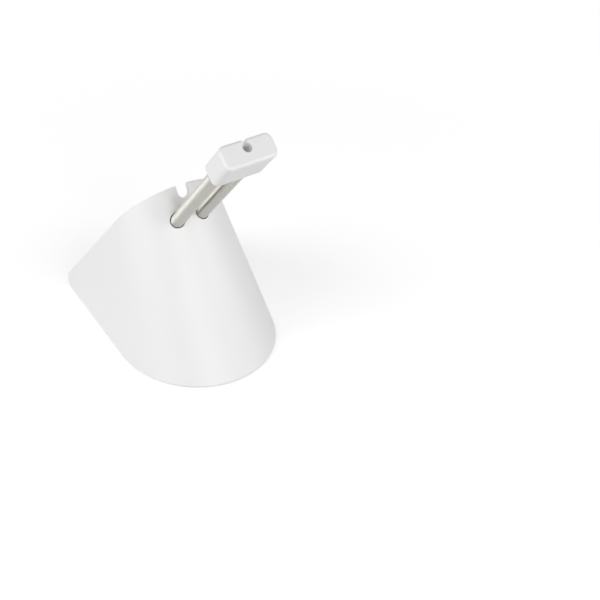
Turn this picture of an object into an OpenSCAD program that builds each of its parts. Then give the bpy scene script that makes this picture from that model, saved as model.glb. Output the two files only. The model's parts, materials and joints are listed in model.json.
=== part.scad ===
// Cord holder for a desk: a leaning hood on a weighted foot, two coil springs and a clip head.
// The hood's nose points along -Y and its open back along +Y. The desk is the plane Z = 0.

/* [Hood] */
// Width across the round nose, at the desk
base_w = 68; // [62:1:76]
// From the widest place forward to the tip of the nose, at the desk
nose_d = 38.7; // [35:0.1:43]
// Width across the two rear feet
tail_w = 62; // [56:1:66]
// From the widest place back to the rear feet
tail_d = 69.3; // [64:0.1:76]
// Height of the crown, the highest point of the rim
crown_h = 73.8; // [68:0.1:80]
// Width of the tapering section at the height of the crown
crown_w = 38.8; // [34:0.1:44]
// How far the section moves back between the desk and the crown
crown_shift = 23.4; // [18:0.1:28]
// Wall of the hood, measured level
wall = 2.4; // [1.8:0.1:3]
// Radius of the two rear foot corners, seen from the side
foot_r = 4.2; // [2:0.1:5]
// Width of the cord notch in the crown
notch_w = 5; // [4.4:0.1:6.5]
// Depth of the cord notch, measured down the slope
notch_depth = 5.7; // [4.6:0.1:7]

/* [Springs] */
// Outer diameter of a coil spring
spring_d = 5.6; // [5:0.1:6.2]
// Diameter of the spring wire
wire_d = 1; // [0.8:0.1:1.2]
// Distance between the axes of the two springs
spring_gap = 11.1; // [10.4:0.1:12.6]
// How far below the crown the springs leave the slope
arm_drop = 11.9; // [10.8:0.1:15.8]
// Free length of the springs between slope and head
arm_free = 52; // [45:0.1:58]
// Gap round a spring in its hole through the hood
hole_play = 0.3; // [0.2:0.05:0.5]

/* [Head] */
// Width of the clip head
head_w = 21; // [20.2:0.1:23]
// Height of the clip head, square to the springs
head_h = 9.2; // [8.8:0.1:10.6]
// Length of the clip head along the springs
head_l = 16.2; // [15:0.1:20]
// How far the middle of the head lies below the axes of the springs
head_drop = 0.3; // [0:0.1:0.5]
// Diameter of the cord slot
slot_d = 3.4; // [3:0.1:3.8]
// From the head's top down to the middle of the cord slot
slot_depth = 3.2; // [2.6:0.1:3.8]
// Width of the mouth that the cord is pressed through
mouth_w = 1.7; // [1.2:0.1:2.4]
// Radius of the head's four edges that run along the springs
bar_r = 2.6; // [1.6:0.1:3]
// Radius of the edges round the head's front and back
edge_r = 1.2; // [0.6:0.1:1.5]

/* [Foot] */
// Gap under the hood's lower edge
foot_gap = 0.5; // [0.3:0.1:1]
// Thickness of the rubber pad
pad_t = 1.5; // [1.2:0.1:2]
// Thickness of the steel weight
weight_t = 3.2; // [2.4:0.1:4]
// Thickness of the tray's floor above the weight
tray_t = 1.8; // [1.4:0.1:2.4]
// Skirt of the tray round the weight
skirt = 1.6; // [1.2:0.1:2]

/* [Fixings] */
// Outer diameter of the screw posts
post_d = 6.4; // [6:0.1:7.2]
// Diameter of a screw's shank
shank_d = 2.8; // [2.4:0.1:3]
// Diameter of a screw's head
head_d = 5.2; // [4.6:0.1:5.6]
// Height of a screw's head
head_t = 1.7; // [1.4:0.1:2]
// Length of a screw's shank
shank_l = 8; // [7:0.5:9]
// Thickness of the ribs that tie the foot's screw posts to the wall
rib_t = 1.6; // [1.2:0.1:2]

/* [Hidden] */

// Colours
white = [0.93, 0.93, 0.93];
dark = [0.13, 0.13, 0.14];
steel = [0.72, 0.71, 0.67];
zinc = [0.62, 0.63, 0.65];

// Running past a face so that a cut leaves no skin
over = 1;
// Clearance between fitted pieces of one body
fit = 0.1;
// Clearance round the weight and the pad in the tray
loose = 0.3;
// Round surfaces
$fn = 64;
// Steps round the nose of the hood
nose_steps = 48;
// Steps round the soft edges of the head
coarse = 32;

// The section shrinks towards the crown and moves back, both in step with the height
crown_share = crown_w / base_w;
function share(z) = 1 - (1 - crown_share) * z / crown_h;
function shift(z) = crown_shift * z / crown_h;
function half_w(z, inset) = base_w / 2 * share(z) - inset;
function half_d(z, inset) = nose_d * share(z) - inset;

// The sides run in towards the feet, and leave the round nose without a kink
side_slope = (base_w - tail_w) / 2 / tail_d;
turn = atan(side_slope * nose_d / (base_w / 2));

// Y of the hood's front at x and z
function front_y(x, z, inset) =
    shift(z) - half_d(z, inset) * sqrt(1 - pow(x / half_w(z, inset), 2));
// X of the hood's side at y and z
function side_x(y, z, inset) =
    half_w(z, inset) * cos(turn) - side_slope * (y - shift(z) - half_d(z, inset) * sin(turn));

// Level section of the hood at height z, drawn in by inset and ending at y = tail
function section(z, inset, tail) = concat(
    [for (i = [0:nose_steps])
        let (a = (90 + turn) * (2 * i / nose_steps - 1))
        [half_w(z, inset) * sin(a), shift(z) - half_d(z, inset) * cos(a)]],
    [[side_x(tail, z, inset), tail], [-side_x(tail, z, inset), tail]]);

// The rim lies in one plane, from the rear feet up to the crown
crown_y = front_y(0, crown_h, 0);
rim_angle = atan2(crown_h, tail_d - crown_y);
slope_angle = atan2(crown_h, crown_y - front_y(0, 0, 0));
rim_l = norm([tail_d - crown_y, crown_h]);

// The springs leave the slope parallel to the rim
arm_z = crown_h - arm_drop;
arm_y = front_y(spring_gap / 2, arm_z, 0);
spring_r = spring_d / 2;
core_r = spring_r - wire_d;
seat_l = 15;
socket_l = 9;
flange_t = 1;
coil_steps = 3;
coil_angle = 60;
spring_l = seat_l + arm_free + socket_l;
coils = round(spring_l / wire_d);

// Spring bracket behind the slope
bracket_wall = 2;
bracket_floor = 2;
bracket_low = seat_l + flange_t + bracket_floor;
bracket_half = spring_gap / 2 + spring_r + bracket_wall;
bracket_deep = spring_r + bracket_wall;
ear_t = 3;

// The bracket's ears stand at its lower end, and their screws lie level. The seat is so far
// back that the screws' tips only reach the hood's inner face beside the posts
ear_x = bracket_half + post_d / 2 + fit;
ear_z = arm_z - bracket_low * sin(rim_angle);
ear_y = front_y(ear_x + post_d / 2, ear_z + post_d / 2, wall) + shank_l - ear_t;

// Levels in the foot
weight_z = pad_t;
tray_z = weight_z + weight_t;
floor_z = tray_z + tray_t;
tray_inset = wall + fit;
pocket_inset = tray_inset + skirt;
sill = 2 * skirt;
post_h = 9;

// The foot's screws pass through holes in the weight, with a web of steel left outside them
web = 2;
screw_hole_r = head_d / 2 + 2 * loose;
screw_inset = pocket_inset + loose + web + screw_hole_r;
rear_post_y = tail_d - 2 * post_d - post_h;
rear_post_x = side_x(rear_post_y, tray_z, screw_inset);
front_post_x = base_w / 4;
front_post_y = front_y(front_post_x, tray_z, screw_inset);

// Everything between two levels that the tapering section sweeps
module tapered(low, high, inset, tail) {
    ring = section(low, inset, tail);
    n = len(ring);
    points = concat([for (p = ring) [p.x, p.y, low]],
                    [for (p = section(high, inset, tail)) [p.x, p.y, high]]);
    sides = [for (i = [0:n - 1]) [i, n + i, n + (i + 1) % n, (i + 1) % n]];
    floor_face = [for (i = [0:n - 1]) i];
    roof_face = [for (i = [0:n - 1]) 2 * n - 1 - i];
    polyhedron(points = points, faces = concat([floor_face, roof_face], sides), convexity = 4);
}

// Upright plate with the outline of the section at height z
module plate(low, high, z, inset, tail) {
    translate([0, 0, low])
        linear_extrude(high - low)
            polygon(section(z, inset, tail));
}

// Frame at the rear feet: X along the feet, Z up the rim, Y straight out of the open back
module rim_frame() {
    translate([0, tail_d, 0])
        rotate([90 - rim_angle, 0, 0])
            children();
}

// Frame where the springs leave the slope: Z along the springs, Y towards the open back
module arm_frame() {
    translate([0, arm_y, arm_z])
        rotate([90 - rim_angle, 0, 0])
            children();
}

// All that lies behind the rim, drawn in by depth
module behind_rim(depth) {
    rim_frame()
        translate([-base_w, -depth, -rim_l])
            cube([2 * base_w, 2 * rim_l, 3 * rim_l]);
}

// The sliver between the sharp rear corner and its round, seen from the side, for a rim
// that is drawn in by depth
module foot_corner(depth) {
    reach = foot_r / tan(rim_angle / 2);
    tip = [tail_d - depth / sin(rim_angle) - foot_gap / tan(rim_angle), foot_gap];
    low = tip - [reach, 0];
    high = tip + reach * [-cos(rim_angle), sin(rim_angle)];
    out = over * [sin(rim_angle), cos(rim_angle)];
    rotate([90, 0, 90])
        linear_extrude(base_w, center = true)
            difference() {
                polygon([low, low - [0, over], tip + [2 * over, -over], high + out, high,
                         low + [0, foot_r]]);
                translate(low + [0, foot_r])
                    circle(r = foot_r);
            }
}

// Round-bottomed notch through the wall at the crown
module notch() {
    translate([0, crown_y, crown_h])
        rotate([90 - slope_angle, 0, 0]) {
            translate([0, 2 * wall, notch_w / 2 - notch_depth])
                rotate([90, 0, 0])
                    cylinder(d = notch_w, h = 4 * wall);
            translate([-notch_w / 2, -2 * wall, notch_w / 2 - notch_depth])
                cube([notch_w, 4 * wall, notch_depth]);
        }
}

// Upright screw posts of the foot, each with X towards the wall that its rib runs to
module base_post_places() {
    for (side = [-1, 1]) {
        translate([side * rear_post_x, rear_post_y, floor_z])
            rotate([0, 0, 90 - 90 * side])
                children();
        translate([side * front_post_x, front_post_y, floor_z])
            rotate([0, 0, -90])
                children();
    }
}

// Level screw posts of the spring bracket, with Z towards the slope
module bracket_post_places() {
    for (side = [-1, 1])
        translate([side * ear_x, ear_y, ear_z])
            rotate([90, 0, 0])
                children();
}

// Upright post with its rib, both run on past the wall
module ribbed_post() {
    cylinder(d = post_d, h = post_h);
    translate([0, -rib_t / 2, 0])
        cube([base_w / 2, rib_t, post_h]);
}

// Pilot hole for a screw whose shank first passes through a plate of thickness cover
module pilot(cover) {
    translate([0, 0, -over])
        cylinder(d = shank_d + 2 * fit, h = shank_l - cover + 2 * over);
}

module housing() {
    color(white)
        difference() {
            union() {
                difference() {
                    tapered(foot_gap, crown_h + over, 0, tail_d + over);
                    tapered(foot_gap - over, crown_h + 2 * over, wall, tail_d + 2 * over);
                }
                intersection() {
                    union() {
                        base_post_places()
                            ribbed_post();
                        bracket_post_places()
                            cylinder(d = post_d, h = base_w);
                    }
                    tapered(foot_gap, crown_h, wall / 2, tail_d);
                }
            }
            behind_rim(0);
            foot_corner(0);
            notch();
            arm_frame()
                for (side = [-1, 1])
                    translate([side * spring_gap / 2, 0, -bracket_low / 2])
                        cylinder(r = spring_r + hole_play, h = bracket_low);
            base_post_places()
                pilot(tray_t);
            bracket_post_places()
                pilot(ear_t);
        }
}

module base_tray() {
    color(white)
        difference() {
            tapered(foot_gap, floor_z, tray_inset, tail_d + over);
            behind_rim(skirt / 2);
            foot_corner(skirt / 2);
            plate(foot_gap - over, tray_z, tray_z, pocket_inset, tail_d - sill - tray_z);
            base_post_places()
                translate([0, 0, -2 * tray_t])
                    cylinder(d = shank_d + 2 * loose, h = 4 * tray_t);
        }
}

module ballast_plate() {
    color(zinc)
        difference() {
            plate(weight_z, tray_z, tray_z, pocket_inset + loose, tail_d - sill - tray_z - loose);
            base_post_places()
                translate([0, 0, -floor_z])
                    cylinder(r = screw_hole_r, h = floor_z);
        }
}

module grip_pad() {
    color(dark)
        plate(0, pad_t, tray_z, pocket_inset + loose, tail_d - sill - tray_z - loose);
}

// Pan-head screw with its shank along +Z and its head below the seat
module screw() {
    cylinder(d = shank_d, h = shank_l);
    translate([0, 0, -head_t])
        cylinder(d = head_d, h = head_t);
}

module base_screws() {
    color(steel)
        base_post_places()
            translate([0, 0, -tray_t])
                screw();
}

module bracket_screws() {
    color(steel)
        bracket_post_places()
            translate([0, 0, -ear_t])
                screw();
}

// Moulded block that holds the lower ends of the springs, shaped to the hood's inner face
module spring_bracket() {
    color(dark)
        difference() {
            intersection() {
                union() {
                    arm_frame()
                        translate([-bracket_half, -bracket_deep, -bracket_low])
                            cube([2 * bracket_half, 2 * bracket_deep, bracket_low]);
                    translate([0, ear_y, ear_z])
                        rotate([-90, 0, 0])
                            linear_extrude(ear_t) {
                                square([2 * ear_x, post_d], center = true);
                                for (side = [-1, 1])
                                    translate([side * ear_x, 0])
                                        circle(d = post_d);
                            }
                }
                tapered(floor_z, crown_h, wall + fit, tail_d);
            }
            arm_frame()
                for (side = [-1, 1])
                    translate([side * spring_gap / 2, 0, -seat_l - flange_t])
                        cylinder(r = spring_r + fit, h = bracket_low);
            bracket_post_places()
                translate([0, 0, -2 * ear_t])
                    cylinder(d = shank_d + 2 * loose, h = 3 * ear_t);
        }
}

// Close-wound spring: each turn shows as one rounded ring
module spring(side) {
    pitch = spring_l / coils;
    mean_r = spring_r - wire_d / 2;
    outer = [for (i = [0:coils - 1], k = [0:coil_steps])
        let (a = coil_angle * (2 * k / coil_steps - 1))
        if (i == 0 || k > 0)
            [mean_r + wire_d / 2 * cos(a), pitch * (i + (1 + sin(a) / sin(coil_angle)) / 2)]];
    color(steel)
        arm_frame()
            translate([side * spring_gap / 2, 0, -seat_l])
                rotate_extrude()
                    polygon(concat([[core_r, 0]], outer, [[core_r, spring_l]]));
}

// Pin inside a spring's end, with a flange that the last turn rests on
module plug(length) {
    cylinder(r = core_r - fit, h = length);
    cylinder(r = spring_r - fit, h = flange_t);
}

module lower_plug(side) {
    color(zinc)
        arm_frame()
            translate([side * spring_gap / 2, 0, -seat_l - flange_t])
                plug(seat_l - flange_t);
}

module upper_plug(side) {
    color(zinc)
        arm_frame()
            translate([side * spring_gap / 2, 0, arm_free + socket_l + flange_t])
                rotate([180, 0, 0])
                    plug(socket_l);
}

// Corner of the head: a post along Z whose two ends are rounded off
module head_corner() {
    rotate_extrude($fn = coarse)
        for (end = [0, 1])
            translate([0, end * head_l])
                mirror([0, end]) {
                    translate([bar_r - edge_r, edge_r])
                        circle(r = edge_r, $fn = coarse);
                    translate([0, edge_r])
                        square([bar_r, head_l / 2 - edge_r]);
                    square([bar_r - edge_r, edge_r]);
                }
}

// Bare block of the head in the frame of the arm, with all edges rounded
module head_block() {
    hull()
        for (x = [-1, 1], y = [-1, 1])
            translate([x * (head_w / 2 - bar_r), y * (head_h / 2 - bar_r) - head_drop, arm_free])
                head_corner();
}

module head_clip() {
    slot_y = head_h / 2 - head_drop - slot_depth;
    color(white)
        arm_frame()
            difference() {
                head_block();
                for (side = [-1, 1])
                    translate([side * spring_gap / 2, 0, arm_free - over])
                        cylinder(r = spring_r + fit, h = socket_l + flange_t + over);
                translate([0, slot_y, arm_free - over])
                    cylinder(d = slot_d, h = head_l + 2 * over);
                translate([-mouth_w / 2, slot_y, arm_free - over])
                    cube([mouth_w, head_h, head_l + 2 * over]);
            }
}

housing();
base_tray();
ballast_plate();
grip_pad();
spring_bracket();
spring(-1);  // left_spring
spring(1);  // right_spring
lower_plug(-1);  // left_lower_plug
lower_plug(1);  // right_lower_plug
upper_plug(-1);  // left_upper_plug
upper_plug(1);  // right_upper_plug
head_clip();
bracket_screws();
base_screws();
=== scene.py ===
# %% [markdown]
# A desk bungee, dressed in Blender: a leaning hood, two coil springs and a small clip head.
# The construction is already packed: every solid sits in one frame, in metres, with +Z up, the nose
# of the hood towards -Y and the open back towards +Y. This lesson never moves a solid. It builds
# finer pieces where the eye needs them, gives every surface a finish, and lights it like a studio.

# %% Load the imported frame
import json
import math

import bmesh
import bpy
from mathutils import Matrix, Vector


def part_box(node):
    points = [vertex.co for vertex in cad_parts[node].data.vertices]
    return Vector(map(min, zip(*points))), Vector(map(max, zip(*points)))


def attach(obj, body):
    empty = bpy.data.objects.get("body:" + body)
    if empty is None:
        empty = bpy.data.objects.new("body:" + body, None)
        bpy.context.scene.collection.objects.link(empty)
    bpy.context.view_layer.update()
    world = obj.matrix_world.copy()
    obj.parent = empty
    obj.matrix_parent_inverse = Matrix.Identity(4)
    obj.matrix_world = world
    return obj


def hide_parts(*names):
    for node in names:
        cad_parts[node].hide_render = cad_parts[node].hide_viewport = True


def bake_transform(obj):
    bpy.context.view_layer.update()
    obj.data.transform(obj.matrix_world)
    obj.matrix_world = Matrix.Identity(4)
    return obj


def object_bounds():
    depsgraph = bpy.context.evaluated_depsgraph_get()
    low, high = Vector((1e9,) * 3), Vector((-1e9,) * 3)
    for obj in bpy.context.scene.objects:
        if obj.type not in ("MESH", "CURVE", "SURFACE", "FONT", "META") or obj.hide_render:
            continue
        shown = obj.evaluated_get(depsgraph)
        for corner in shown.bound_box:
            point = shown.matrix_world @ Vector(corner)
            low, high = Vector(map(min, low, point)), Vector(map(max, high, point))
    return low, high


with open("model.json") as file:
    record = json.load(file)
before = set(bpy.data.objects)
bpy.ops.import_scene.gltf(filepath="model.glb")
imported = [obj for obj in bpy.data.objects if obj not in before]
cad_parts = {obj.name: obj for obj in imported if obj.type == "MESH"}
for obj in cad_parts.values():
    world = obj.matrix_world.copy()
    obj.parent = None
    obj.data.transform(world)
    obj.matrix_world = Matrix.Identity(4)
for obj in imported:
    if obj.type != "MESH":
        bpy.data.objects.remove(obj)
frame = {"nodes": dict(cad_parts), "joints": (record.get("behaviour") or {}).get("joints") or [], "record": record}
cad_low, cad_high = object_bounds()
nodes = frame["nodes"]
record = frame["record"]
print("solids:", sorted(nodes))
print("box in mm:", [round(1000 * s, 1) for s in cad_high - cad_low])

# %% [markdown]
# The camera comes first, because it decides which surfaces matter. Its place was found from the
# photograph: the outline of the hood fixes the direction, and the way the hood narrows with the
# distance fixes how far away the camera stands. A lens shift isn't needed, the object simply sits
# left of the middle of the picture.

# %% Camera
IMAGE_PX = 600
FOCAL_PX = 1002.35
SENSOR_MM = 36
CAMERA_AT = Vector((-0.15472, -0.30441, 0.27600))
CAMERA_AZIMUTH = math.radians(34.631)
CAMERA_ELEVATION = math.radians(37.429)
CAMERA_ROLL = math.radians(0.133)

back = Vector((-math.sin(CAMERA_AZIMUTH) * math.cos(CAMERA_ELEVATION),
               -math.cos(CAMERA_AZIMUTH) * math.cos(CAMERA_ELEVATION),
               math.sin(CAMERA_ELEVATION)))
level_right = Vector((math.cos(CAMERA_AZIMUTH), -math.sin(CAMERA_AZIMUTH), 0))
level_up = back.cross(level_right)
right = level_right * math.cos(CAMERA_ROLL) - level_up * math.sin(CAMERA_ROLL)
up = level_right * math.sin(CAMERA_ROLL) + level_up * math.cos(CAMERA_ROLL)

camera_data = bpy.data.cameras.new("photo_camera")
camera_data.sensor_width = SENSOR_MM
camera_data.lens = SENSOR_MM * FOCAL_PX / IMAGE_PX
camera_data.clip_start = 0.01
camera_data.clip_end = 20
camera = bpy.data.objects.new("photo_camera", camera_data)
bpy.context.scene.collection.objects.link(camera)
turn_columns = Matrix((right, up, back)).transposed().to_4x4()
camera.matrix_world = Matrix.Translation(CAMERA_AT) @ turn_columns
bpy.context.scene.camera = camera
print("lens in mm:", round(camera_data.lens, 2))

# %% [markdown]
# A node tree is easier to read when each node is made in one line. These three helpers add a node with
# its settings, type values into its sockets, and start a group. Every tree below uses them.

# %% Helpers for node trees
def add_node(tree, kind, label="", **settings):
    """A new node with its label and its settings."""
    node = tree.nodes.new(kind)
    node.label = label
    for name, value in settings.items():
        setattr(node, name, value)
    return node


def set_inputs(node, **values):
    """Type values into sockets. An underscore stands for a blank in a socket's name."""
    for name, value in values.items():
        node.inputs[name.replace("_", " ")].default_value = value
    return node


def new_group(name, kind, inputs, outputs):
    """A node group with named sockets: inputs are (name, socket type, value) and outputs (name, type)."""
    tree = bpy.data.node_groups.new(name, kind)
    for socket, socket_type, value in inputs:
        item = tree.interface.new_socket(socket, in_out="INPUT", socket_type=socket_type)
        if value is not None:
            item.default_value = value
    for socket, socket_type in outputs:
        tree.interface.new_socket(socket, in_out="OUTPUT", socket_type=socket_type)
    return tree, tree.nodes.new("NodeGroupInput"), tree.nodes.new("NodeGroupOutput")


print("helpers ready: add_node, set_inputs, new_group")

# %% [markdown]
# Moulded plastic and rubber copy the surface of the mould, and a mould for such parts is spark
# eroded: a fine, even grain that turns a sharp reflection into a satin one. One node group makes
# that grain for the white plastic, the black nylon and the rubber, each with its own size and depth.
# A second, slow noise moves the colour by a percent or two, as in real plastic. The metals get a
# group of the same build, so what both do with their two noises is one function.

# %% From two noises to a surface
SURFACE_SOCKETS = [("Color", "NodeSocketColor"), ("Roughness", "NodeSocketFloat"),
                   ("Normal", "NodeSocketVector")]


def surface_from_noises(tree, given, result, fine, slow, second_colour, depth, gloss_spread):
    """The slow noise blends two colours. The fine noise breaks up the gloss and gives the relief."""
    link = tree.links.new
    tint = add_node(tree, "ShaderNodeMix", "two colours", data_type="RGBA")
    link(slow.outputs["Fac"], tint.inputs["Factor"])
    link(given.outputs["Color"], tint.inputs["A"])
    link(given.outputs[second_colour], tint.inputs["B"])
    spread = add_node(tree, "ShaderNodeMapRange", "broken gloss")
    set_inputs(spread, To_Min=-gloss_spread, To_Max=gloss_spread)
    link(fine.outputs["Fac"], spread.inputs["Value"])
    gloss = add_node(tree, "ShaderNodeMath", "gloss", operation="ADD")
    link(given.outputs["Roughness"], gloss.inputs[0])
    link(spread.outputs["Result"], gloss.inputs[1])
    relief = add_node(tree, "ShaderNodeBump", "relief")
    link(fine.outputs["Fac"], relief.inputs["Height"])
    link(given.outputs[depth], relief.inputs["Distance"])
    link(tint.outputs["Result"], result.inputs["Color"])
    link(gloss.outputs["Value"], result.inputs["Roughness"])
    link(relief.outputs["Normal"], result.inputs["Normal"])


print("a surface gives:", [name for name, kind in SURFACE_SOCKETS])

# %% Grain of moulded surfaces
GRAIN_GLOSS = 0.035


def build_mould_grain():
    tree, given, result = new_group(
        "mould_grain", "ShaderNodeTree",
        [("Color", "NodeSocketColor", (0.8, 0.8, 0.8, 1)), ("Shade", "NodeSocketColor", (0.7, 0.7, 0.7, 1)),
         ("Roughness", "NodeSocketFloat", 0.5), ("Grain Scale", "NodeSocketFloat", 3000.0),
         ("Grain Depth", "NodeSocketFloat", 0.00001), ("Cloud Scale", "NodeSocketFloat", 40.0)],
        SURFACE_SOCKETS)
    link = tree.links.new
    place = add_node(tree, "ShaderNodeTexCoord")
    grain = add_node(tree, "ShaderNodeTexNoise", "spark grain")
    set_inputs(grain, Detail=3.0, Roughness=0.6)
    cloud = add_node(tree, "ShaderNodeTexNoise", "slow clouds")
    set_inputs(cloud, Detail=2.0, Roughness=0.5)
    link(place.outputs["Object"], grain.inputs["Vector"])
    link(place.outputs["Object"], cloud.inputs["Vector"])
    link(given.outputs["Grain Scale"], grain.inputs["Scale"])
    link(given.outputs["Cloud Scale"], cloud.inputs["Scale"])
    surface_from_noises(tree, given, result, grain, cloud, "Shade", "Grain Depth", GRAIN_GLOSS)
    return tree


MOULD_GRAIN = build_mould_grain()
print("shader group:", MOULD_GRAIN.name, "sockets", len(MOULD_GRAIN.interface.items_tree))

# %% [markdown]
# The metal parts are drawn wire, plated plate and turned screws. Plating hides the steel but keeps
# faint draw marks and small stains, so this group gives a slow change of tint, a broken gloss and a
# very shallow relief. The shader itself stays in each material, where its metal sockets are plain.

# %% Marks of plated metal
MARK_GLOSS = 0.06
STAIN_SCALE = 160.0


def build_plated_marks():
    tree, given, result = new_group(
        "plated_marks", "ShaderNodeTree",
        [("Color", "NodeSocketColor", (0.7, 0.7, 0.7, 1)), ("Stain", "NodeSocketColor", (0.6, 0.6, 0.6, 1)),
         ("Roughness", "NodeSocketFloat", 0.3), ("Mark Scale", "NodeSocketFloat", 900.0),
         ("Mark Depth", "NodeSocketFloat", 0.000004)],
        SURFACE_SOCKETS)
    link = tree.links.new
    place = add_node(tree, "ShaderNodeTexCoord")
    marks = add_node(tree, "ShaderNodeTexNoise", "draw marks")
    set_inputs(marks, Detail=4.0, Roughness=0.65)
    stains = add_node(tree, "ShaderNodeTexNoise", "stains")
    set_inputs(stains, Scale=STAIN_SCALE, Detail=3.0)
    link(place.outputs["Object"], marks.inputs["Vector"])
    link(place.outputs["Object"], stains.inputs["Vector"])
    link(given.outputs["Mark Scale"], marks.inputs["Scale"])
    surface_from_noises(tree, given, result, marks, stains, "Stain", "Mark Depth", MARK_GLOSS)
    return tree


PLATED_MARKS = build_plated_marks()
print("shader group:", PLATED_MARKS.name, "sockets", len(PLATED_MARKS.interface.items_tree))

# %% [markdown]
# A finish is one Principled shader fed by one of the two groups. Colour, roughness and normal change
# over the surface, so they come from the group. What is the same everywhere, such as Metallic or the
# specular level, is typed on the shader's own socket.

# %% From a group to a finish
def finish_material(name, group, surface, group_values):
    """A material whose changing values come from the group and whose plain ones are in surface."""
    material = bpy.data.materials.new(name)
    material.use_nodes = True
    tree = material.node_tree
    shader = tree.nodes["Principled BSDF"]
    for socket, value in surface.items():
        shader.inputs[socket].default_value = value
    texture = add_node(tree, "ShaderNodeGroup", name, node_tree=group)
    for socket, value in group_values.items():
        texture.inputs[socket].default_value = value
    for source, target in (("Color", "Base Color"), ("Roughness", "Roughness"), ("Normal", "Normal")):
        tree.links.new(texture.outputs[source], shader.inputs[target])
    return material


def grey(value):
    return (value, value, value, 1)


WHITE_PLASTIC = finish_material(
    "white_plastic", MOULD_GRAIN, {"Specular IOR Level": 0.5},
    {"Color": grey(0.87), "Shade": grey(0.85), "Roughness": 0.36,
     "Grain Scale": 2600, "Grain Depth": 0.000006, "Cloud Scale": 35})
BLACK_NYLON = finish_material(
    "black_nylon", MOULD_GRAIN, {"Specular IOR Level": 0.45},
    {"Color": grey(0.028), "Shade": grey(0.02), "Roughness": 0.48,
     "Grain Scale": 1800, "Grain Depth": 0.00003, "Cloud Scale": 60})
BLACK_RUBBER = finish_material(
    "black_rubber", MOULD_GRAIN, {"Specular IOR Level": 0.3},
    {"Color": grey(0.022), "Shade": grey(0.014), "Roughness": 0.82,
     "Grain Scale": 1100, "Grain Depth": 0.00008, "Cloud Scale": 25})
NICKEL_WIRE = finish_material(
    "nickel_wire", PLATED_MARKS, {"Metallic": 1.0},
    {"Color": (0.665, 0.655, 0.61, 1), "Stain": (0.59, 0.58, 0.535, 1), "Roughness": 0.34,
     "Mark Scale": 1500, "Mark Depth": 0.000004})
ZINC_PLATE = finish_material(
    "zinc_plate", PLATED_MARKS, {"Metallic": 1.0},
    {"Color": (0.62, 0.64, 0.67, 1), "Stain": (0.5, 0.52, 0.56, 1), "Roughness": 0.42,
     "Mark Scale": 420, "Mark Depth": 0.00002})
SCREW_STEEL = finish_material(
    "screw_steel", PLATED_MARKS, {"Metallic": 1.0},
    {"Color": (0.58, 0.59, 0.62, 1), "Stain": (0.46, 0.47, 0.5, 1), "Roughness": 0.3,
     "Mark Scale": 1200, "Mark Depth": 0.000006})
print("finishes:", [m.name for m in bpy.data.materials if m.use_nodes])

# %% [markdown]
# A close-wound spring is bright on the outside of each turn and dark where two turns meet, because little light
# gets in there.
# That shade is painted into the wire's colour: the winding tree further down stores how deep each point lies
# between the turns, as an attribute named groove, and the wire's finish darkens with it.

# %% Painted shade between the turns of the wire
GROOVE_FROM = 0.08
GROOVE_TO = 0.43
# Painted shade: the wire's colour deep between the turns, where little light gets in.
PAINTED_GROOVE_SHADE = (0.11, 0.107, 0.095, 1)


def paint_groove_shade(material):
    """Paint shade into the plating where the groove attribute is high, deep between the turns."""
    tree = material.node_tree
    shader = tree.nodes["Principled BSDF"]
    plating = shader.inputs["Base Color"].links[0].from_socket
    groove = add_node(tree, "ShaderNodeAttribute", "depth between the turns", attribute_name="groove")
    fade = add_node(tree, "ShaderNodeMapRange", "from bright to dark", interpolation_type="SMOOTHSTEP")
    set_inputs(fade, From_Min=GROOVE_FROM, From_Max=GROOVE_TO)
    tree.links.new(groove.outputs["Fac"], fade.inputs["Value"])
    # The painted shade between the turns is mixed over the plating here.
    mix = add_node(tree, "ShaderNodeMix", "plating with painted shade", data_type="RGBA")
    tree.links.new(fade.outputs["Result"], mix.inputs["Factor"])
    tree.links.new(plating, mix.inputs["A"])
    mix.inputs["B"].default_value = PAINTED_GROOVE_SHADE
    tree.links.new(mix.outputs["Result"], shader.inputs["Base Color"])


paint_groove_shade(NICKEL_WIRE)
print("grooves darken between", GROOVE_FROM, "and", GROOVE_TO, "wire radii")

# %% [markdown]
# Some solids already have their true shape: the tray, the weight, the pad, the bracket and the plugs.
# They only need a finish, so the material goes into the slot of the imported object.

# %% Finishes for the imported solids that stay
STAYING = {"base_tray": WHITE_PLASTIC, "ballast_plate": ZINC_PLATE, "grip_pad": BLACK_RUBBER,
           "spring_bracket": BLACK_NYLON, "left_lower_plug": ZINC_PLATE, "right_lower_plug": ZINC_PLATE,
           "left_upper_plug": ZINC_PLATE, "right_upper_plug": ZINC_PLATE}
for node_name, material in STAYING.items():
    mesh = nodes[node_name].data
    mesh.materials.clear()
    mesh.materials.append(material)
print("dressed as packed:", len(STAYING))

# %% [markdown]
# The other pieces are built anew. Their meshes are written straight in the frame, so each object sits
# at the origin. The helpers below make an object from points and faces, merge what coincides, turn
# the faces outwards, and apply a modifier by reading the evaluated mesh back.

# %% Helpers for meshes
MERGE = 1e-7


def mesh_object(name, points, faces):
    """A clean mesh in an object of its own: nothing double, nothing flat, faces outwards."""
    mesh = bpy.data.meshes.new(name)
    mesh.from_pydata([tuple(p) for p in points], [], faces)
    work = bmesh.new()
    work.from_mesh(mesh)
    bmesh.ops.remove_doubles(work, verts=work.verts, dist=MERGE)
    bmesh.ops.dissolve_degenerate(work, edges=work.edges, dist=MERGE)
    bmesh.ops.recalc_face_normals(work, faces=work.faces)
    work.to_mesh(mesh)
    work.free()
    made = bpy.data.objects.new(name, mesh)
    bpy.context.scene.collection.objects.link(made)
    return made


def apply_modifiers(made):
    """Keep the evaluated mesh and drop the modifiers that made it."""
    evaluated = made.evaluated_get(bpy.context.evaluated_depsgraph_get())
    mesh = bpy.data.meshes.new_from_object(evaluated)
    made.modifiers.clear()
    made.data = mesh
    return made


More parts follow.
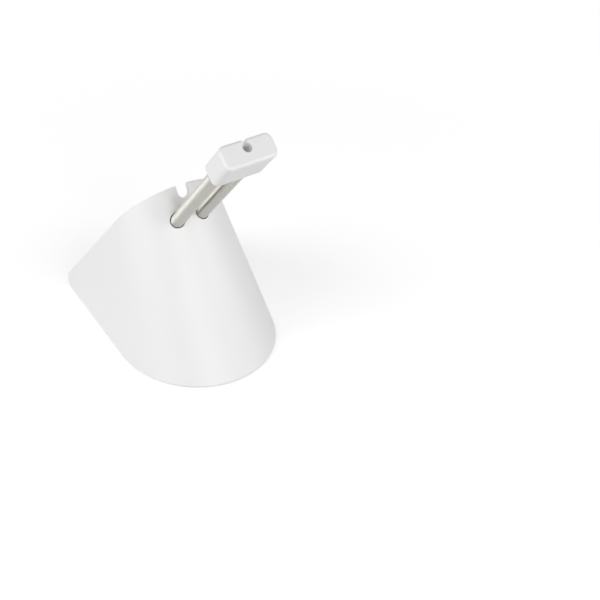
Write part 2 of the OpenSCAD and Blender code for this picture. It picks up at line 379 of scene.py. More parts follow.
def combine(target, tool, operation):
    """A boolean of two closed meshes. The tool is used up."""
    step = target.modifiers.new(operation, "BOOLEAN")
    step.operation = operation
    step.solver = "EXACT"
    step.use_self = operation == "UNION"
    step.object = tool
    apply_modifiers(target)
    bpy.data.objects.remove(tool)
    return target


def join(made):
    """One object from several, with their meshes in the same frame."""
    work = bmesh.new()
    for part in made:
        work.from_mesh(part.data)
    work.to_mesh(made[0].data)
    work.free()
    for part in made[1:]:
        bpy.data.objects.remove(part)
    return made[0]


def loft(name, rings, closed_ends=True):
    """A closed tube through rings that have as many points each."""
    count = len(rings[0])
    points = [p for ring in rings for p in ring]
    faces = []
    for near in range(0, count * (len(rings) - 1), count):
        far = near + count
        faces += [(near + k, near + (k + 1) % count, far + (k + 1) % count, far + k) for k in range(count)]
    if closed_ends:
        faces.append(tuple(range(count)))
        faces.append(tuple(range((len(rings) - 1) * count, len(rings) * count)))
    return mesh_object(name, points, faces)


def full_turn(sides):
    return [math.tau * k / sides for k in range(sides)]


def rod(name, start, along, radius, sides=64):
    """A round rod from start, as long as the vector along."""
    aside = along.orthogonal().normalized()
    across = along.normalized().cross(aside)
    ring = [radius * (math.cos(a) * aside + math.sin(a) * across) for a in full_turn(sides)]
    return loft(name, [[start + p for p in ring], [start + along + p for p in ring]])


def smooth_and_paint(made, material, crease=35):
    """Smooth shading that stops at creases of so many degrees or more, and the finish."""
    made.data.materials.clear()
    made.data.materials.append(material)
    made.data.shade_smooth()
    made.data.set_sharp_from_angle(angle=math.radians(crease))


def dress(made, body, material, slot, *replaced, crease=35):
    """Finish a piece and say what it replaces. It rides on body, unless body is None."""
    smooth_and_paint(made, material, crease)
    if body:
        flat_faces_lead = made.modifiers.new("flat_faces_lead", "WEIGHTED_NORMAL")
        flat_faces_lead.keep_sharp = True
        apply_modifiers(made)
        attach(made, body)
    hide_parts(*replaced)
    print(made.name, "faces", len(made.data.polygons), "replaces", replaced)
    return made


print("helpers ready: mesh_object, combine, join, loft, rod, smooth_and_paint, dress")

# %% [markdown]
# The hood is one thin moulded shell. Every level section is a round nose that runs into two straight
# sides, and the section shrinks and moves back in step with the height. So the shell is ruled: each
# point of the section climbs on a straight line. The open back is one slanting plane, the rim plane.

# %% Driving sizes of the hood
MM = 0.001
BASE_W = 68 * MM
NOSE_D = 38.7 * MM
TAIL_W = 62 * MM
TAIL_D = 69.3 * MM
CROWN_H = 73.8 * MM
CROWN_W = 38.8 * MM
CROWN_SHIFT = 23.4 * MM
WALL = 2.4 * MM
FOOT_R = 4.2 * MM
FOOT_GAP = 0.5 * MM

TAPER = (1 - CROWN_W / BASE_W) / CROWN_H
LEAN = CROWN_SHIFT / CROWN_H
SIDE_SLOPE = (BASE_W - TAIL_W) / 2 / TAIL_D
TURN = math.atan(SIDE_SLOPE * NOSE_D / (BASE_W / 2))
crown_y = CROWN_SHIFT - NOSE_D * (1 - TAPER * CROWN_H)
rim_angle = math.atan2(CROWN_H, TAIL_D - crown_y)
RIM_OUT = Vector((0, math.sin(rim_angle), math.cos(rim_angle)))
RIM_REACH = TAIL_D * math.sin(rim_angle)
print("rim at", round(math.degrees(rim_angle), 2), "degrees, crown at y =", round(crown_y / MM, 2), "mm")

# %% Points of the shell
def nose_point(angle, z, inset):
    """A point of the round nose, angle measured from straight ahead, the wall drawn in by inset."""
    return Vector(((BASE_W / 2 * (1 - TAPER * z) - inset) * math.sin(angle),
                   LEAN * z - (NOSE_D * (1 - TAPER * z) - inset) * math.cos(angle), z))


def side_point(side, y, z, inset):
    """A point of the flat side, side -1 or 1."""
    tangent_x = (BASE_W / 2 * (1 - TAPER * z) - inset) * math.cos(TURN)
    tangent_y = LEAN * z + (NOSE_D * (1 - TAPER * z) - inset) * math.sin(TURN)
    return Vector((side * (tangent_x - SIDE_SLOPE * (y - tangent_y)), y, z))


print("hood width at the crown:", round(2 * nose_point(math.pi / 2, CROWN_H, 0).x / MM, 1), "mm")

# %% [markdown]
# A moulded edge is never sharp, and the bright line along the rim is what the eye reads as plastic.
# Cutting the shell and bevelling it would fail at the rear feet, where the wall runs out to nothing.
# So each straight line of the shell becomes one closed ring: up the outside, round the edge, down the
# inside and round the foot. Each ring stores a soft start and the sharp corner that it rounds.

# %% Rings of the nose
EDGE_R = 0.8 * MM


def nose_line(angle, inset):
    """Soft and sharp end at the foot, then at the rim, of one line of the nose."""
    foot = nose_point(angle, 0, inset)
    climb = nose_point(angle, 1, inset) - foot

    def at_depth(depth):
        return foot + climb * ((RIM_REACH - depth - foot.dot(RIM_OUT)) / climb.dot(RIM_OUT))

    return (foot + climb * (FOOT_GAP + EDGE_R), foot + climb * FOOT_GAP, at_depth(EDGE_R), at_depth(0))


print("first line of the nose:", [round(p.z / MM, 2) for p in nose_line(0, 0)])

# %% [markdown]
# In the side view the rear foot is a rounded corner, where the line of the desk turns into the rim.
# Lines of the flat side are marked by where they meet the desk, called run below. Past the start of the
# round they meet the circle twice, and at its furthest point the two meetings fall together.

# %% Rings of the sides
SIDE_LINES = 14
CORNER_LINES = 12
side_climb = LEAN - NOSE_D * TAPER * math.sin(TURN)
soft_r = FOOT_R - EDGE_R
corner = Vector((TAIL_D - FOOT_GAP / math.tan(rim_angle) - FOOT_R / math.tan(rim_angle / 2),
                 FOOT_GAP + FOOT_R))
run_start = NOSE_D * math.sin(TURN)
run_round = corner.x - side_climb * (FOOT_GAP + EDGE_R)
run_middle = corner.x - side_climb * corner.y
run_reach = soft_r * math.hypot(1, side_climb)


def side_line(side, run, inset):
    """Soft and sharp end at the foot, then at the rim, of one line of a side."""
    slide = min(1, (run - run_start) / (run_round - run_start))
    # The line meets the circle at the heights z where z * z - 2 * middle_z * z + product is zero.
    past = run - corner.x
    slant = 1 + side_climb ** 2
    middle_z = (corner.y - side_climb * past) / slant
    product = (past ** 2 + corner.y ** 2 - soft_r ** 2) / slant
    spread = math.sqrt(max(0, middle_z ** 2 - product))
    meetings = (middle_z - spread, middle_z + spread)
    ends = []
    rim_climb = side_climb * RIM_OUT.y + RIM_OUT.z
    foot_z = FOOT_GAP + EDGE_R
    rim_z = (RIM_REACH - EDGE_R - run * RIM_OUT.y) / rim_climb
    if run > run_round:
        foot_z = meetings[0]
    if rim_z < corner.y + soft_r * RIM_OUT.z:
        rim_z = meetings[1]
    for z, straight, along in ((foot_z, Vector((0, -1)), Vector((-side_climb, -1))),
                               (rim_z, Vector((RIM_OUT.y, RIM_OUT.z)), Vector((side_climb, 1)) / rim_climb)):
        soft = Vector((run + side_climb * z, z))
        outward = along.lerp(straight, slide)
        if z in meetings:
            outward = (soft - corner) / soft_r
        sharp = soft + EDGE_R * outward
        ends += [side_point(side, soft.x, soft.y, inset), side_point(side, sharp.x, sharp.y, inset)]
    return tuple(ends)


side_runs = [run_start + (run_round - run_start) * k / SIDE_LINES for k in range(1, SIDE_LINES + 1)]
round_start = math.acos((run_round - run_middle) / run_reach)
side_runs += [run_middle + run_reach * math.cos(round_start * (1 - k / CORNER_LINES))
              for k in range(1, CORNER_LINES + 1)]
print("lines on one side:", len(side_runs), "last at", round(side_runs[-1] / MM, 2), "mm")

# %% Weave the rings into a shell
NOSE_LINES = 144
ROWS = 24
ROUND_STEPS = 5
LAND_SHARE = 0.45


def soft_edge(start, corner_a, corner_b, end):
    """Round over two corners, by a quadratic curve at each. A round takes LAND_SHARE at most."""
    land = (corner_b - corner_a).normalized() * min(EDGE_R, (corner_b - corner_a).length * LAND_SHARE)
    first = [start.lerp(corner_a, t).lerp(corner_a.lerp(corner_a + land, t), t)
             for t in [k / ROUND_STEPS for k in range(1, ROUND_STEPS + 1)]]
    second = [(corner_b - land).lerp(corner_b, t).lerp(corner_b.lerp(end, t), t)
              for t in [k / ROUND_STEPS for k in range(ROUND_STEPS)]]
    return first + second


def shell_ring(outer, inner):
    """One closed ring round the wall, from the four ends of its outer and of its inner line."""
    steps = [k / ROWS for k in range(ROWS + 1)]
    ring = [outer[0].lerp(outer[2], t) for t in steps]
    ring += soft_edge(outer[2], outer[3], inner[3], inner[2])
    ring += [inner[2].lerp(inner[0], t) for t in steps]
    return ring + soft_edge(inner[0], inner[1], outer[1], outer[0])


half_turn = math.pi / 2 + TURN
rings = [shell_ring(side_line(-1, run, 0), side_line(-1, run, WALL)) for run in reversed(side_runs)]
rings += [shell_ring(nose_line(a, 0), nose_line(a, WALL))
          for a in [half_turn * (2 * k / NOSE_LINES - 1) for k in range(NOSE_LINES + 1)]]
rings += [shell_ring(side_line(1, run, 0), side_line(1, run, WALL)) for run in side_runs]
hood = loft("hood_shell", rings, closed_ends=False)
print("rings:", len(rings), "faces:", len(hood.data.polygons))

# %% [markdown]
# Inside the hood stand the screw posts: four upright ones for the foot, each tied to the wall by a rib,
# and two level ones for the spring bracket. In the mould they grow out of the wall, so they are cut
# off in the middle of the wall by a slightly smaller copy of the hood and then united with it.
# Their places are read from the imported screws, so that both always agree.

# %% Places of the screws
SAME_PLACE = 0.001 * MM


def screw_places(node_name):
    """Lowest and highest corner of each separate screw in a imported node."""
    work = bmesh.new()
    work.from_mesh(nodes[node_name].data)
    bmesh.ops.remove_doubles(work, verts=work.verts, dist=SAME_PLACE)
    left, places = set(work.verts), []
    while left:
        stack, island = [left.pop()], []
        while stack:
            vertex = stack.pop()
            island.append(vertex.co.copy())
            for edge in vertex.link_edges:
                other = edge.other_vert(vertex)
                if other in left:
                    left.remove(other)
                    stack.append(other)
        places.append(tuple(Vector([pick(p[i] for p in island) for i in range(3)]) for pick in (min, max)))
    work.free()
    return sorted(places, key=lambda place: tuple(place[0]))


foot_screws = screw_places("base_screws")
bracket_screws = screw_places("bracket_screws")
print("screws found:", len(foot_screws), "in the foot,", len(bracket_screws), "in the bracket")

# %% Posts and ribs
POST_D = 6.4 * MM
POST_H = 9 * MM
RIB_T = 1.6 * MM
EAR_T = 3 * MM
HEAD_T = 1.7 * MM
FLOOR_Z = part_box("base_tray")[1].z


def box_between(name, low, high):
    ring = [(low.x, low.y), (high.x, low.y), (high.x, high.y), (low.x, high.y)]
    return loft(name, [[Vector((x, y, z)) for x, y in ring] for z in (low.z, high.z)])


posts = []
for low, high in foot_screws:
    middle = Vector(((low.x + high.x) / 2, (low.y + high.y) / 2, FLOOR_Z))
    reach = Vector((math.copysign(BASE_W / 2, middle.x), 0, 0))
    aside = Vector((0, RIB_T / 2, 0))
    if middle.y < 0:
        reach = Vector((0, -BASE_W / 2, 0))
        aside = Vector((RIB_T / 2, 0, 0))
    ends = (middle - aside, middle + aside + reach + Vector((0, 0, POST_H)))
    posts.append(rod("post", middle, Vector((0, 0, POST_H)), POST_D / 2))
    posts.append(box_between("rib", Vector(map(min, *ends)), Vector(map(max, *ends))))
for low, high in bracket_screws:
    seat = Vector(((low.x + high.x) / 2, high.y - HEAD_T - EAR_T, (low.z + high.z) / 2))
    posts.append(rod("post", seat, Vector((0, -BASE_W, 0)), POST_D / 2))
screw_posts = posts[0]
for part in posts[1:]:
    combine(screw_posts, part, "UNION")
print("posts and ribs:", len(posts), "faces:", len(screw_posts.data.polygons))

# %% Clip the posts inside the wall and unite them with the shell
def section_ring(z, inset):
    """Level section of the hood, closed straight across behind the rim."""
    arc = [nose_point(half_turn * (2 * k / NOSE_LINES - 1), z, inset) for k in range(NOSE_LINES + 1)]
    return [side_point(-1, TAIL_D, z, inset)] + arc + [side_point(1, TAIL_D, z, inset)]


inside = loft("inside", [section_ring(FOOT_GAP, WALL / 2), section_ring(CROWN_H, WALL / 2)])
combine(screw_posts, inside, "INTERSECT")
combine(hood, screw_posts, "UNION")
print("hood with its posts:", len(hood.data.polygons), "faces")

# %% [markdown]
# What is left are the openings: a notch in the crown with a round bottom, two round holes that let
# the springs through, and the pilot holes of the six screws. All of them are cut in one pass by one
# tool, because a boolean costs the same for ten holes as for one.

# %% Frame of the springs
slot_mount = next(m for m in record["mounts"] if m["name"] == "cord_slot")
flex = frame["joints"][0]
ARM = Vector(slot_mount["axis"]).normalized()
ARM_BACK = Vector((0, ARM.z, -ARM.y))
ACROSS = Vector((1, 0, 0))
HINGE = Vector(flex["pos_m"])
ARM_FREE = 52 * MM
arm_start = HINGE - ARM * ARM_FREE / 2
spring_x = (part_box("right_spring")[0].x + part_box("right_spring")[1].x) / 2


def arm_point(x, y, z):
    """A point in the frame of the arm: x across, y towards the open back, z along the springs."""
    return arm_start + x * ACROSS + y * ARM_BACK + z * ARM


print("springs leave the slope at", [round(v / MM, 2) for v in arm_start], "mm")

# %% Cut the openings
NOTCH_W = 5 * MM
NOTCH_DEPTH = 5.7 * MM
NOTCH_STEPS = 32
SPRING_R = 2.8 * MM
HOLE_PLAY = 0.3 * MM
HOLE_DEPTH = 9 * MM
HOLE_SIDES = 96
PILOT_R = 1.5 * MM
PILOT_SIDES = 32
SHANK_L = 8 * MM
TRAY_T = 1.8 * MM
OVERRUN = 1 * MM
slope_angle = math.atan2(CROWN_H, crown_y + NOSE_D)
UP_SLOPE = Vector((0, math.cos(slope_angle), math.sin(slope_angle)))
OUT_OF_SLOPE = Vector((0, -math.sin(slope_angle), math.cos(slope_angle)))
crown = Vector((0, crown_y, CROWN_H))

notch_centre = crown + UP_SLOPE * (NOTCH_W / 2 - NOTCH_DEPTH)
outline = [NOTCH_W / 2 * Vector((math.cos(a), math.sin(a)))
           for a in [-math.pi * k / NOTCH_STEPS for k in range(NOTCH_STEPS + 1)]]
outline += [Vector((side * NOTCH_W / 2, NOTCH_DEPTH)) for side in (-1, 1)]
notch_ends = [[notch_centre + p.x * ACROSS + p.y * UP_SLOPE + depth * OUT_OF_SLOPE for p in outline]
              for depth in (-2 * WALL, 2 * WALL)]
cutters = [loft("notch", notch_ends)]
for side in (-1, 1):
    cutters.append(rod("hole", arm_point(side * spring_x, 0, -HOLE_DEPTH), ARM * 2 * HOLE_DEPTH,
                       SPRING_R + HOLE_PLAY, HOLE_SIDES))
for low, high in foot_screws:
    seat = Vector(((low.x + high.x) / 2, (low.y + high.y) / 2, FLOOR_Z - OVERRUN))
    cutters.append(rod("pilot", seat, Vector((0, 0, SHANK_L - TRAY_T + 2 * OVERRUN)), PILOT_R, PILOT_SIDES))
for low, high in bracket_screws:
    seat = Vector(((low.x + high.x) / 2, high.y - HEAD_T - EAR_T + OVERRUN, (low.z + high.z) / 2))
    cutters.append(rod("pilot", seat, Vector((0, -SHANK_L + EAR_T - 2 * OVERRUN, 0)), PILOT_R, PILOT_SIDES))
combine(hood, join(cutters), "DIFFERENCE")
dress(hood, "base", WHITE_PLASTIC, "white_shell", "housing")

# %% [markdown]
# The clip head is a small solid block with soft edges: wide rounds on the four edges that run along
# the springs, tighter ones round the front and the back. A bevel can't give two radii that flow into
# each other, so the block is a loft: a rectangle with round corners, drawn in step by step at both ends.
# Its slot is a round bore under a narrow mouth: what is pressed in through the mouth stays in the bore.

# %% Block of the head
HEAD_W = 21 * MM
HEAD_H = 9.2 * MM
HEAD_L = 16.2 * MM
HEAD_DROP = 0.3 * MM
BAR_R = 2.6 * MM
HEAD_EDGE = 1.2 * MM
ROUND = 12


def quarter(steps):
    """Angles from 0 to 90 degrees."""
    return [math.pi / 2 * k / steps for k in range(steps + 1)]


def head_ring(z, drawn_in):
    """Section of the head across the springs, drawn in all round."""
    ring = []
    for quarters, across, upward in ((0, 1, 1), (1, -1, 1), (2, -1, -1), (3, 1, -1)):
        for a in quarter(ROUND):
            swing = a + quarters * math.pi / 2
            x = across * (HEAD_W / 2 - BAR_R) + (BAR_R - drawn_in) * math.cos(swing)
            y = upward * (HEAD_H / 2 - BAR_R) + (BAR_R - drawn_in) * math.sin(swing) - HEAD_DROP
            ring.append(arm_point(x, y, ARM_FREE + z))
    return ring


edge_steps = [(HEAD_EDGE * (1 - math.sin(a)), HEAD_EDGE * (1 - math.cos(a))) for a in quarter(ROUND // 2)]
head = loft("head_block", [head_ring(z, inset) for z, inset in reversed(edge_steps)]
            + [head_ring(HEAD_L - z, inset) for z, inset in edge_steps])
print("block faces:", len(head.data.polygons))

# %% [markdown]
# The tool that cuts the slot widens at both of its ends and at the mouth, which leaves rounded lips
# with nothing sharp to rub on. The two sockets for the springs are plain round holes in the back.

# %% Slot and sockets
slot_r = slot_mount["dims"]["r_mm"] * MM
slot_y = (Vector(slot_mount["pos_m"]) - arm_start).dot(ARM_BACK)
MOUTH_W = 1.7 * MM
LIP_R = 0.45 * MM
SLOT_EDGE = 0.25 * MM
SOCKET_L = 10 * MM
SOCKET_PLAY = 0.1 * MM
SLOT_STEPS = 40
head_top = HEAD_H / 2 - HEAD_DROP


def slot_outline(wider):
    """Round slot with its mouth, seen along the arm, all of it wider by the given amount."""
    meet = math.acos(MOUTH_W / 2 / slot_r)
    round_part = [Vector(((slot_r + wider) * math.cos(a), slot_y + (slot_r + wider) * math.sin(a)))
                  for a in [meet - (math.pi + 2 * meet) * k / SLOT_STEPS for k in range(SLOT_STEPS + 1)]]
    lip = [Vector((MOUTH_W / 2 + LIP_R - (LIP_R - wider) * math.sin(a),
                   head_top - LIP_R + (LIP_R - wider) * math.cos(a)))
           for a in quarter(ROUND // 2)]
    one_side = [Vector((lip[0].x, head_top + HEAD_H))] + lip
    return one_side + round_part + [Vector((-p.x, p.y)) for p in reversed(one_side)]


flare = [(-OVERRUN, SLOT_EDGE)]
flare += [(SLOT_EDGE * (1 - math.cos(a)), SLOT_EDGE * (1 - math.sin(a))) for a in quarter(ROUND // 2)]
cut = [(z, slot_outline(wider)) for z, wider in flare]
cut += [(HEAD_L - z, slot_outline(wider)) for z, wider in reversed(flare)]
tools = [loft("slot", [[arm_point(p.x, p.y, ARM_FREE + z) for p in ring] for z, ring in cut])]
for side in (-1, 1):
    tools.append(rod("socket", arm_point(side * spring_x, 0, ARM_FREE - OVERRUN),
                     ARM * (SOCKET_L + OVERRUN), SPRING_R + SOCKET_PLAY))
combine(head, join(tools), "DIFFERENCE")
dress(head, "head", WHITE_PLASTIC, "white_head", "head_clip")

# %% [markdown]
# Each arm is a close-wound spring: one wire, wound turn on turn. A helix follows a rule, so Geometry
# Nodes make it. The tree draws a line with one point for each small step, bends it round by the number
# of each point, and gives it a round section. The same tree, with other values, makes a screw's thread.

# %% The end of each geometry tree
def real_and_painted(tree, source, given, result):
    """Real geometry in place of instances, in the given material."""
    real = add_node(tree, "GeometryNodeRealizeInstances")
    paint = add_node(tree, "GeometryNodeSetMaterial")
    tree.links.new(source, real.inputs["Geometry"])
    tree.links.new(real.outputs["Geometry"], paint.inputs["Geometry"])
    tree.links.new(given.outputs["Material"], paint.inputs["Material"])
    tree.links.new(paint.outputs["Geometry"], result.inputs["Geometry"])


def run_tree(name, tree, values, mesh=None):
    """An object with the tree as its modifier, its inputs set by socket identifier, made a plain mesh."""
    made = bpy.data.objects.new(name, mesh or bpy.data.meshes.new(name))
    bpy.context.scene.collection.objects.link(made)
    step = made.modifiers.new("tree", "NODES")
    step.node_group = tree
    identifier = {item.name: item.identifier for item in tree.interface.items_tree if item.in_out == "INPUT"}
    for socket, value in values.items():
        step[identifier[socket]] = value
    return apply_modifiers(made)


print("helpers ready: real_and_painted, run_tree")

# %% Tree that winds a wire
def build_winding():
    tree, given, result = new_group(
        "wound_wire", "GeometryNodeTree",
        [("Geometry", "NodeSocketGeometry", None), ("Turns", "NodeSocketFloat", 10.0),
         ("Pitch", "NodeSocketFloat", 0.001), ("Coil Radius", "NodeSocketFloat", 0.0023),
         ("Wire Radius", "NodeSocketFloat", 0.0005), ("Steps", "NodeSocketInt", 28),
         ("Sides", "NodeSocketInt", 8), ("Material", "NodeSocketMaterial", None)],
        [("Geometry", "NodeSocketGeometry")])
    link = tree.links.new

    def maths(operation, first, second=None):
        """A Math node with numbers typed in and sockets linked."""
        node = add_node(tree, "ShaderNodeMath", operation=operation)
        for socket, value in zip(node.inputs, (first, second)):
            if isinstance(value, (int, float)):
                socket.default_value = value
            elif value is not None:
                link(value, socket)
        return node.outputs[0]

    count = maths("ADD", maths("MULTIPLY", given.outputs["Turns"], given.outputs["Steps"]), 1)
    line = add_node(tree, "GeometryNodeMeshLine", "one point for each step")
    link(count, line.inputs["Count"])
    index = add_node(tree, "GeometryNodeInputIndex")
    turned = maths("DIVIDE", index.outputs["Index"], given.outputs["Steps"])
    angle = maths("MULTIPLY", turned, math.tau)
    spot = add_node(tree, "ShaderNodeCombineXYZ", "place on the helix")
    link(maths("MULTIPLY", maths("COSINE", angle), given.outputs["Coil Radius"]), spot.inputs["X"])
    link(maths("MULTIPLY", maths("SINE", angle), given.outputs["Coil Radius"]), spot.inputs["Y"])
    link(maths("MULTIPLY", turned, given.outputs["Pitch"]), spot.inputs["Z"])
    wind = add_node(tree, "GeometryNodeSetPosition")
    link(line.outputs["Mesh"], wind.inputs["Geometry"])
    link(spot.outputs["Vector"], wind.inputs["Position"])
    curve = add_node(tree, "GeometryNodeMeshToCurve")
    link(wind.outputs["Geometry"], curve.inputs["Mesh"])
    section = add_node(tree, "GeometryNodeCurvePrimitiveCircle", "section of the wire")
    link(given.outputs["Sides"], section.inputs["Resolution"])
    link(given.outputs["Wire Radius"], section.inputs["Radius"])
    tube = add_node(tree, "GeometryNodeCurveToMesh")
    tube.inputs["Fill Caps"].default_value = True
    link(curve.outputs["Curve"], tube.inputs["Curve"])
    link(section.outputs["Curve"], tube.inputs["Profile Curve"])
    place = add_node(tree, "ShaderNodeSeparateXYZ")
    link(add_node(tree, "GeometryNodeInputPosition").outputs["Position"], place.inputs["Vector"])
    squares = [maths("MULTIPLY", place.outputs[axis], place.outputs[axis]) for axis in ("X", "Y")]
    away = maths("SQRT", maths("ADD", *squares))
    depth = maths("SUBTRACT", maths("ADD", given.outputs["Coil Radius"], given.outputs["Wire Radius"]), away)
    groove = add_node(tree, "ShaderNodeClamp")
    link(maths("DIVIDE", depth, given.outputs["Wire Radius"]), groove.inputs["Value"])
    mark = add_node(tree, "GeometryNodeStoreNamedAttribute", data_type="FLOAT", domain="POINT")
    set_inputs(mark, Name="groove")
    link(tube.outputs["Mesh"], mark.inputs["Geometry"])
    link(groove.outputs["Result"], mark.inputs["Value"])
    real_and_painted(tree, mark.outputs["Geometry"], given, result)
    return tree


WINDING = build_winding()
print("geometry tree:", WINDING.name)

# %% Wind the two springs
WIRE_D = 1 * MM
WIRE_STEPS = 28
WIRE_SIDES = 10
COIL_CREASE = 60
SEAT_L = 15 * MM
SPRING_SOCKET = 9 * MM
spring_l = SEAT_L + ARM_FREE + SPRING_SOCKET
arm_turn = Matrix((ACROSS, ARM_BACK, ARM)).transposed().to_4x4()
for side, name, replaced in ((-1, "left_coil", "left_spring"), (1, "right_coil", "right_spring")):
    coil = run_tree(name, WINDING, {
        "Turns": spring_l / WIRE_D - 1, "Pitch": WIRE_D, "Coil Radius": SPRING_R - WIRE_D / 2,
        "Wire Radius": WIRE_D / 2, "Steps": WIRE_STEPS, "Sides": WIRE_SIDES, "Material": NICKEL_WIRE})
    foot = arm_point(side * spring_x, 0, WIRE_D / 2 - SEAT_L)
    coil.data.transform(Matrix.Translation(foot) @ arm_turn)
    dress(coil, None, NICKEL_WIRE, "spring_wire", replaced, crease=COIL_CREASE)
    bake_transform(coil)

# %% [markdown]
# The screws are small pan heads with a cross recess and a coarse thread for plastic. Only the heads of
# the two bracket screws show, through the open back, but all six are the same stock screw. So one
# screw is made once, and a second tree sets copies of it on points.

# %% One screw
HEAD_R = 2.6 * MM
SHANK_R = 1.4 * MM
CORE_R = 1.05 * MM
TIP_L = 0.9 * MM
TIP_SHARE = 0.45
NECK_L = 0.3 * MM
NECK_OUT = 0.25 * MM
RIM_SHARE = 0.45
DOME_STEPS = 8
RECESS_W = 0.7 * MM
RECESS_R = 1.5 * MM
RECESS_DEEP = 1 * MM
SCREW_SIDES = 40


def lathe(name, profile, sides):
    """A turned piece round +Z from (radius, height) pairs that start and end on the axis."""
    rings = [[Vector((r * math.cos(a), r * math.sin(a), z)) for a in full_turn(sides)] for r, z in profile]
    return loft(name, rings, closed_ends=False)


shank = [(0, SHANK_L), (CORE_R * TIP_SHARE, SHANK_L), (CORE_R, SHANK_L - TIP_L), (CORE_R, NECK_L),
         (CORE_R + NECK_OUT, 0)]
dome = [(HEAD_R * math.cos(a), -HEAD_T * (RIM_SHARE + (1 - RIM_SHARE) * math.sin(a)))
        for a in quarter(DOME_STEPS)]
screw = lathe("screw", shank + [(HEAD_R, 0)] + dome, SCREW_SIDES)
bars = [box_between("bar", Vector((-x, -y, -2 * HEAD_T)), Vector((x, y, RECESS_DEEP - HEAD_T)))
        for x, y in ((RECESS_R, RECESS_W / 2), (RECESS_W / 2, RECESS_R))]
combine(screw, combine(*bars, "UNION"), "DIFFERENCE")
print("a screw without its thread:", len(screw.data.polygons), "faces")

# %% Thread of the screw
THREAD_R = 0.3 * MM
THREAD_PITCH = 1.1 * MM
THREAD_TURNS = 6.0
THREAD_START = 0.6 * MM
THREAD_STEPS = 20
THREAD_SIDES = 4
thread = run_tree("thread", WINDING, {
    "Turns": THREAD_TURNS, "Pitch": THREAD_PITCH, "Coil Radius": SHANK_R - THREAD_R,
    "Wire Radius": THREAD_R, "Steps": THREAD_STEPS, "Sides": THREAD_SIDES, "Material": SCREW_STEEL})
thread.data.transform(Matrix.Translation((0, 0, THREAD_START)))
screw = join([screw, thread])
smooth_and_paint(screw, SCREW_STEEL)
print("one screw:", len(screw.data.polygons), "faces")

# %% Tree that sets copies on points
def build_setting():
    tree, given, result = new_group(
        "set_screws", "GeometryNodeTree",
        [("Geometry", "NodeSocketGeometry", None), ("Screw", "NodeSocketObject", None),
         ("Turn", "NodeSocketVector", (0, 0, 0)), ("Material", "NodeSocketMaterial", None)],
        [("Geometry", "NodeSocketGeometry")])
    link = tree.links.new
    source = add_node(tree, "GeometryNodeObjectInfo")
    link(given.outputs["Screw"], source.inputs["Object"])
    turn = add_node(tree, "FunctionNodeEulerToRotation")
    link(given.outputs["Turn"], turn.inputs["Euler"])
    copies = add_node(tree, "GeometryNodeInstanceOnPoints")
    link(given.outputs["Geometry"], copies.inputs["Points"])
    link(source.outputs["Geometry"], copies.inputs["Instance"])
    link(turn.outputs["Rotation"], copies.inputs["Rotation"])
    real_and_painted(tree, copies.outputs["Instances"], given, result)
    return tree


SETTING = build_setting()
print("geometry tree:", SETTING.name)

# %% Set the six screws
foot_seats = [((low.x + high.x) / 2, (low.y + high.y) / 2, low.z + HEAD_T)
              for low, high in foot_screws]
bracket_seats = [((low.x + high.x) / 2, high.y - HEAD_T, (low.z + high.z) / 2)
                 for low, high in bracket_screws]
for name, replaced, turn, points in (
        ("foot_screw_set", "base_screws", (0, 0, 0), foot_seats),
        ("bracket_screw_set", "bracket_screws", (math.pi / 2, 0, 0), bracket_seats)):
    mesh = bpy.data.meshes.new(name)
    mesh.from_pydata(points, [], [])
    screws = run_tree(name, SETTING, {"Screw": screw, "Turn": turn, "Material": SCREW_STEEL}, mesh)
    dress(screws, "base", SCREW_STEEL, "screw_steel", replaced)
bpy.data.objects.remove(screw)

# %% [markdown]
# The studio is plain: a pale floor, a white room all round and soft lamps. The room and the floor look
# white to the camera and in reflections, through Light Path, while they light the object at a gentler
# level. So the background stays white without more light on the object. Close to the object the floor
# is real paper that takes its shadow, and further out it fades into the plain white of the room.

# %% White room
DOME_LIGHT = 0.31


def seen_directly(tree):
    """1 for rays from the camera and for reflections and refractions, else 0."""
    path = add_node(tree, "ShaderNodeLightPath")
    first = add_node(tree, "ShaderNodeMath", operation="MAXIMUM")
    second = add_node(tree, "ShaderNodeMath", operation="MAXIMUM")
    tree.links.new(path.outputs["Is Camera Ray"], first.inputs[0])
    tree.links.new(path.outputs["Is Glossy Ray"], first.inputs[1])
    tree.links.new(first.outputs[0], second.inputs[0])
    tree.links.new(path.outputs["Is Transmission Ray"], second.inputs[1])
    return second.outputs[0]


world = bpy.data.worlds.new("white_room")
bpy.context.scene.world = world
world.use_nodes = True
tree = world.node_tree
room = tree.nodes["Background"]
set_inputs(room, Color=(1, 1, 1, 1), Strength=DOME_LIGHT)
white = set_inputs(add_node(tree, "ShaderNodeBackground"), Color=(1, 1, 1, 1), Strength=1.0)
choose = add_node(tree, "ShaderNodeMixShader")
tree.links.new(seen_directly(tree), choose.inputs["Fac"])
tree.links.new(room.outputs[0], choose.inputs[1])
tree.links.new(white.outputs[0], choose.inputs[2])
tree.links.new(choose.outputs[0], tree.nodes["World Output"].inputs["Surface"])
print("the room lights the object at", DOME_LIGHT)

# %% Floor
FLOOR_SIZE = 6
FLOOR_ALBEDO = 0.5
PAPER_ALBEDO = 1.0
PAPER_LIFT = 0.38
SHADOW_REACH = 0.1
WHITE_FROM = 0.3

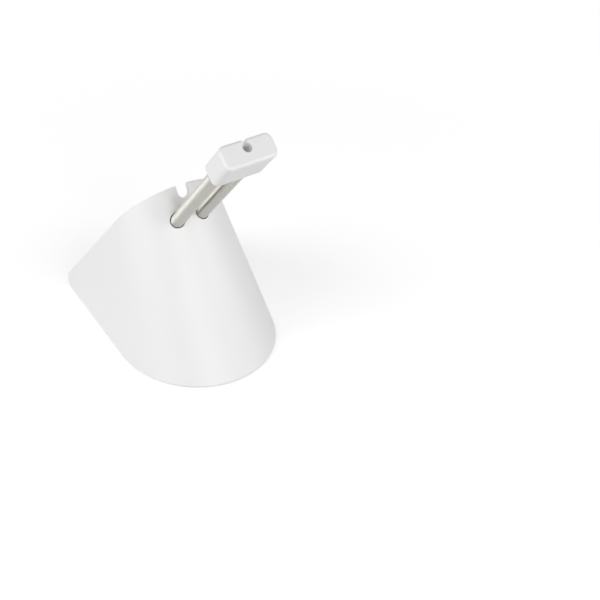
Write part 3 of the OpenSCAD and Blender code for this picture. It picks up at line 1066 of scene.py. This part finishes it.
floor_half = FLOOR_SIZE / 2
floor_corners = [(x * floor_half, y * floor_half, 0) for x, y in ((-1, -1), (1, -1), (1, 1), (-1, 1))]
floor = mesh_object("floor", floor_corners, [(0, 1, 2, 3)])
paper = bpy.data.materials.new("pale_floor")
paper.use_nodes = True
tree = paper.node_tree
tree.nodes.remove(tree.nodes["Principled BSDF"])
lit = set_inputs(add_node(tree, "ShaderNodeBsdfDiffuse"), Color=grey(FLOOR_ALBEDO))
shadowed = set_inputs(add_node(tree, "ShaderNodeBsdfDiffuse"), Color=grey(PAPER_ALBEDO))
lift = set_inputs(add_node(tree, "ShaderNodeEmission"), Color=(1, 1, 1, 1), Strength=PAPER_LIFT)
near = add_node(tree, "ShaderNodeAddShader")
far = set_inputs(add_node(tree, "ShaderNodeEmission"), Color=(1, 1, 1, 1), Strength=1.0)
away = add_node(tree, "ShaderNodeVectorMath", "distance from the object", operation="LENGTH")
fade = add_node(tree, "ShaderNodeMapRange", "paper into white", interpolation_type="SMOOTHSTEP")
set_inputs(fade, From_Min=SHADOW_REACH, From_Max=WHITE_FROM)
seen = add_node(tree, "ShaderNodeMixShader")
choose = add_node(tree, "ShaderNodeMixShader")
tree.links.new(add_node(tree, "ShaderNodeTexCoord").outputs["Object"], away.inputs[0])
tree.links.new(away.outputs["Value"], fade.inputs["Value"])
tree.links.new(shadowed.outputs[0], near.inputs[0])
tree.links.new(lift.outputs[0], near.inputs[1])
tree.links.new(fade.outputs["Result"], seen.inputs["Fac"])
tree.links.new(near.outputs[0], seen.inputs[1])
tree.links.new(far.outputs[0], seen.inputs[2])
tree.links.new(seen_directly(tree), choose.inputs["Fac"])
tree.links.new(lit.outputs[0], choose.inputs[1])
tree.links.new(seen.outputs[0], choose.inputs[2])
tree.links.new(choose.outputs[0], tree.nodes["Material Output"].inputs["Surface"])
floor.data.materials.append(paper)
print("floor of", FLOOR_SIZE, "m, paper up to", SHADOW_REACH, "m and plain white from", WHITE_FROM, "m")

# %% Lamps
def soft_lamp(name, toward, distance, size, power):
    """A square lamp in the direction toward, turned to the middle of the object."""
    data = bpy.data.lights.new(name, "AREA")
    data.shape = "SQUARE"
    data.size = size
    data.energy = power
    lamp = bpy.data.objects.new(name, data)
    bpy.context.scene.collection.objects.link(lamp)
    aim = (cad_low + cad_high) / 2
    direction = Vector(toward).normalized()
    lamp.location = aim + direction * distance
    lamp.rotation_mode = "QUATERNION"
    lamp.rotation_quaternion = direction.to_track_quat("Z", "Y")


LAMP_AWAY = 0.9
# Each lamp has a direction from the object, a width in metres and a power in watts.
LAMPS = {
    "left_lamp": ((-1.0, 0.03, 0.42), 0.95, 3.8),
    "back_left_lamp": ((-0.9, 0.45, 0.2), 0.75, 2.4),
    "low_front_lamp": ((-0.2, -0.97, 0.12), 0.7, 3.6),
    "small_front_lamp": ((0.45, -0.85, 0.4), 0.3, 1.1),
    "right_front_lamp": ((0.7, -0.65, 0.25), 0.6, 1.5)}
for lamp_name, (toward, size, power) in LAMPS.items():
    soft_lamp(lamp_name, toward, LAMP_AWAY, size, power)

# %% [markdown]
# Last come the view settings.

# %% View settings
bpy.context.scene.view_settings.view_transform = "Standard"
